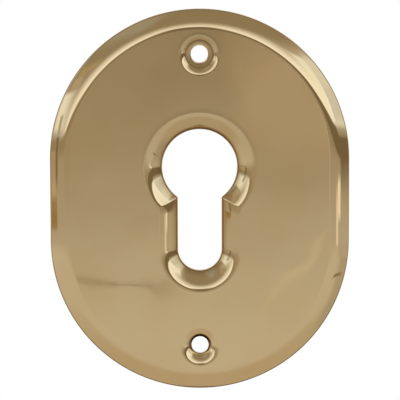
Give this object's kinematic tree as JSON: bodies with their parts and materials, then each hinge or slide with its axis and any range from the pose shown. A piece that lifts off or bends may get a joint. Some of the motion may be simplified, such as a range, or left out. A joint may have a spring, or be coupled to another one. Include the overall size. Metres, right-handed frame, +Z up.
{
  "type": "keyhole escutcheon",
  "caption": "Oval pressed brass plate with a rolled rim, a collared profile-cylinder keyhole and dished screw holes above and below it.",
  "frame": {"origin": "middle of the keyhole's height on the back plane, where the plate lies on the door; also the middle of the plate and halfway between the screw holes", "axes": "+Z up the door along the plate's length, +X to the right as seen from the front, -Y out of the door towards the viewer"},
  "size_m": [0.07, 0.004, 0.0892],
  "materials": {
    "polished_brass": "polished and clear lacquered"
  },
  "bodies": {
    "root": {"escutcheon_plate": "polished_brass"}
  },
  "joints": []
}
